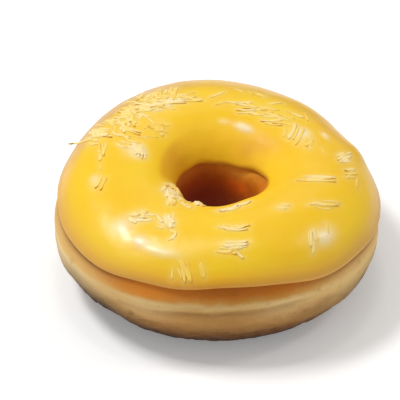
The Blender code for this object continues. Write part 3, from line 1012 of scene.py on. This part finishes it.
def crust_material():
    m = Nodes("fried_crust")
    uneven = m.noise(scale=170, detail=4, rough=0.55)
    fine = m.noise(scale=900, detail=3, rough=0.6)
    shift = m.times(m.math("SUBTRACT", uneven, 0.5), SIDE_UNEVEN)
    place = m.remap(m.math("ADD", m.attribute("above_band"), shift), LEVELS, (0.0, 1.0))
    bottom, top = LEVELS
    # Browned side, whose darkest tones at the underside include painted contact shade
    browned_and_shaded = m.ramp(place, [((level - bottom) / (top - bottom), tones) for level, tones in BROWNED_SIDE_AND_FOOT_SHADE])
    side = m.mix(m.times(m.attribute("flank"), FLANK_PALENESS), browned_and_shaded, m.ramp(place, PALE_SIDE))
    # Painted light and shade across the hole: shaded on the left, lit on the right
    hole = m.mix(m.attribute("hole_lit_right"), srgb(*HOLE_SHADED_LEFT_TONES), srgb(*HOLE_LIT_RIGHT_TONES))
    hole = m.mix(m.times(uneven, HOLE_UNEVEN), hole, srgb(*HOLE_UNEVEN_TONES))
    hole = m.cover(hole, m.noise(scale=95, detail=2, rough=0.5), *HOLE_MARKS)
    hole = m.tint(hole, HOLE_TINTS)
    colour = m.mix(m.attribute("in_hole"), side, hole)
    colour = m.tint(colour, SIDE_TINTS)
    colour = m.tint(colour, FRONT_TINTS, "MULTIPLY")
    colour = m.cover(colour, m.noise(scale=420, detail=2, rough=0.5), *SPECKS)
    # Painted shade in the hollows of the relief
    colour = m.cover(colour, m.attribute("depth"), *HOLLOW_SHADE)
    colour = m.tint(colour, LAST_TINTS)
    roughness = m.remap(fine, NOISE_RANGE, CRUST_ROUGHNESS)
    m.bump(m.math("ADD", m.times(fine, CRUST_FINE_BUMPS), uneven), strength=0.35, distance=0.0004)
    m.set(Base_Color=colour, Roughness=roughness, Specular_IOR_Level=0.18)
    m.set(Subsurface_Weight=0.12, Subsurface_Scale=0.0015, Subsurface_Radius=(1.0, 0.5, 0.25))
    return m.material


def icing_material():
    m = Nodes("yellow_icing")
    broad = m.noise(scale=45, detail=3, rough=0.5)
    fine = m.noise(scale=600, detail=2, rough=0.5)
    edge = m.attribute("from_edge")
    funnel = m.attribute("funnel")
    first, second = ICING_TONES
    colour = m.mix(m.remap(broad, ICING_TONE_RANGE, (0.0, 1.0)), srgb(*first), srgb(*second))
    colour = m.cover(colour, edge, *NEAR_EDGE)
    colour = m.tint(colour, INNER_TINTS)
    colour = m.cover(colour, edge, *OUTERMOST)
    colour = m.tint(colour, ICING_TINTS)
    roughness = m.remap(broad, NOISE_RANGE, ICING_ROUGHNESS)
    roughness = m.math("ADD", roughness, m.times(funnel, FUNNEL_ROUGHER))
    roughness = m.math("ADD", roughness, m.remap(edge, (0.0, EDGE_ROUGHER_TO), (EDGE_ROUGHER, 0.0)))
    coat = m.times(m.math("SUBTRACT", 1.0, funnel), COAT)
    coat = m.times(coat, m.remap(edge, COAT_FROM_EDGE, (0.0, 1.0)))
    m.bump(m.math("ADD", broad, m.times(fine, ICING_FINE_BUMPS)), strength=0.25, distance=0.0008)
    m.set(Base_Color=colour, Roughness=roughness, Coat_Weight=coat, Coat_Roughness=0.16)
    m.set(Subsurface_Weight=0.25, Subsurface_Scale=0.0025, Subsurface_Radius=(1.0, 0.7, 0.15))
    return m.material


def shred_material():
    m = Nodes("pale_shred")
    grain = m.noise(scale=900, detail=2, rough=0.5)
    colour = m.ramp(m.attribute("tint"), SHRED_TONES)
    colour = m.mix(m.times(grain, SHRED_GRAIN), colour, srgb(*SHRED_GRAIN_TONES))
    roughness = m.remap(grain, NOISE_RANGE, SHRED_ROUGHNESS)
    m.bump(grain, strength=0.2, distance=0.0002)
    m.set(Base_Color=colour, Roughness=roughness, Specular_IOR_Level=0.4)
    return m.material


def put(made, material):
    made.data.materials.append(material)
    return made


# ---- build ----
theta = np.linspace(0, 2 * math.pi, AROUND, endpoint=False)
crust = put(make_crust(theta), crust_material())
glaze = put(make_icing(theta), icing_material())
pale = shred_material()
laid = []
scrap_strips = scatter(FINE_GROUPS, SCRAP, own_draws(FINE_GROUPS, FINE_SEED))
flake_strips = scatter(FLAKE_GROUPS, FLAKE, own_draws(FLAKE_GROUPS, FLAKE_SEED))
shreds = put(make_strips("shreds", shred_strips(), SHRED, laid), pale)
scraps = put(make_strips("scraps", scrap_strips, SCRAP, laid), pale)
flakes = put(make_strips("flakes", flake_strips, FLAKE, laid), pale)
cloud_icing(glaze, laid)

# The part stands with the middle of its outline over the origin: the dough's own box gives the step.
low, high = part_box("dough_ring")
places = np.empty(len(crust.data.vertices) * 3, np.float32)
crust.data.vertices.foreach_get("co", places)
places = places.reshape(-1, 3)
middle = ((places.min(axis=0) + places.max(axis=0)) / 2).tolist()
step = Vector(((low.x + high.x) / 2 - middle[0], (low.y + high.y) / 2 - middle[1], 0))
for made in (crust, glaze, shreds, scraps, flakes):
    made.data.transform(Matrix.Translation(step))
    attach(made, "root")
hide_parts("dough_ring")
for made in (glaze, shreds, scraps, flakes):
    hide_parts("icing")

# ---- floor, light and camera ----
FLOOR_SIZE = 6
FLOOR_TONES = ((246, 246, 246), (250, 250, 250))
FLOOR_GLOW = 0.18
WHITE = (1.0, 1.0, 1.0, 1.0)
WORLD_STRENGTH = 0.42
LIGHT_AIM = Vector((0, 0, 0.02))

# Soft lights: name, azimuth and elevation (degrees), distance, width, height and watts
LIGHTS = (("left_back", -107, 62, 0.9, 0.25, 0.20, 4.3), ("overhead", 180, 80, 0.9, 0.13, 0.06, 0.45),
          ("right", 99, 50, 0.9, 0.14, 0.14, 0.7), ("back", 172, 40, 0.9, 0.40, 0.30, 0.25))

# Camera, solved from the photo's outline: it looks at a point inside the ring, which shows at AIM_PIXEL
ELEVATION = 42.2
DISTANCE = 0.595
ROLL = 0.59
AIM_HEIGHT = 0.0176
AIM_PIXEL = (216.7, 207.7)
PIXELS_PER_METRE = 3498.0
PHOTO_SIDE = 400
SENSOR = 36
CLIP_START = 0.01


def lay_floor():
    bpy.ops.mesh.primitive_plane_add(size=FLOOR_SIZE)
    floor = bpy.context.object
    floor.name = "floor"
    ground = Nodes("pale_floor")
    first, second = FLOOR_TONES
    colour = ground.mix(ground.noise(scale=3, detail=3, rough=0.5), srgb(*first), srgb(*second))
    ground.set(Base_Color=colour, Roughness=FLOOR_ROUGHNESS)
    ground.set(Emission_Strength=FLOOR_GLOW, Emission_Color=WHITE)
    return put(floor, ground.material)


def light_world():
    world = bpy.data.worlds.new("studio")
    world.use_nodes = True
    background = world.node_tree.nodes["Background"]
    background.inputs["Color"].default_value = WHITE
    background.inputs["Strength"].default_value = WORLD_STRENGTH
    bpy.context.scene.world = world


def softbox(name, azimuth, elevation, distance, width, height, watts):
    light = bpy.data.lights.new(name, "AREA")
    light.shape = "RECTANGLE"
    light.size = width
    light.size_y = height
    light.energy = watts
    made = bpy.data.objects.new(name, light)
    bpy.context.scene.collection.objects.link(made)
    a, e = math.radians(azimuth), math.radians(elevation)
    place = Vector((math.sin(a) * math.cos(e), -math.cos(a) * math.cos(e), math.sin(e))) * distance
    made.location = place + LIGHT_AIM
    made.rotation_euler = (-place).to_track_quat("-Z", "Y").to_euler()


def photo_camera(aim):
    """Camera that sees aim at AIM_PIXEL, from the photo's angle."""
    data = bpy.data.cameras.new("camera")
    data.sensor_width = SENSOR
    data.lens = SENSOR * PIXELS_PER_METRE * DISTANCE / PHOTO_SIDE
    data.clip_start = CLIP_START
    made = bpy.data.objects.new("camera", data)
    bpy.context.scene.collection.objects.link(made)
    e = math.radians(ELEVATION)
    back = Vector((0, -math.cos(e), math.sin(e)))
    right = Vector((1, 0, 0))
    up = back.cross(right)
    beside, below = ((pixel - PHOTO_SIDE / 2) / PIXELS_PER_METRE for pixel in AIM_PIXEL)
    made.location = aim + back * DISTANCE
    z_axis = -(aim - right * beside + up * below - made.location).normalized()
    rolled_up = Matrix.Rotation(math.radians(ROLL), 3, back) @ up
    x_axis = rolled_up.cross(z_axis).normalized()
    y_axis = z_axis.cross(x_axis)
    made.rotation_euler = Matrix((x_axis, y_axis, z_axis)).transposed().to_euler()
    return made


floor = lay_floor()
light_world()
for light in LIGHTS:
    softbox(*light)
camera = photo_camera(Vector((step.x, step.y, AIM_HEIGHT)))
bpy.context.scene.camera = camera
bpy.context.scene.view_settings.view_transform = "Standard"
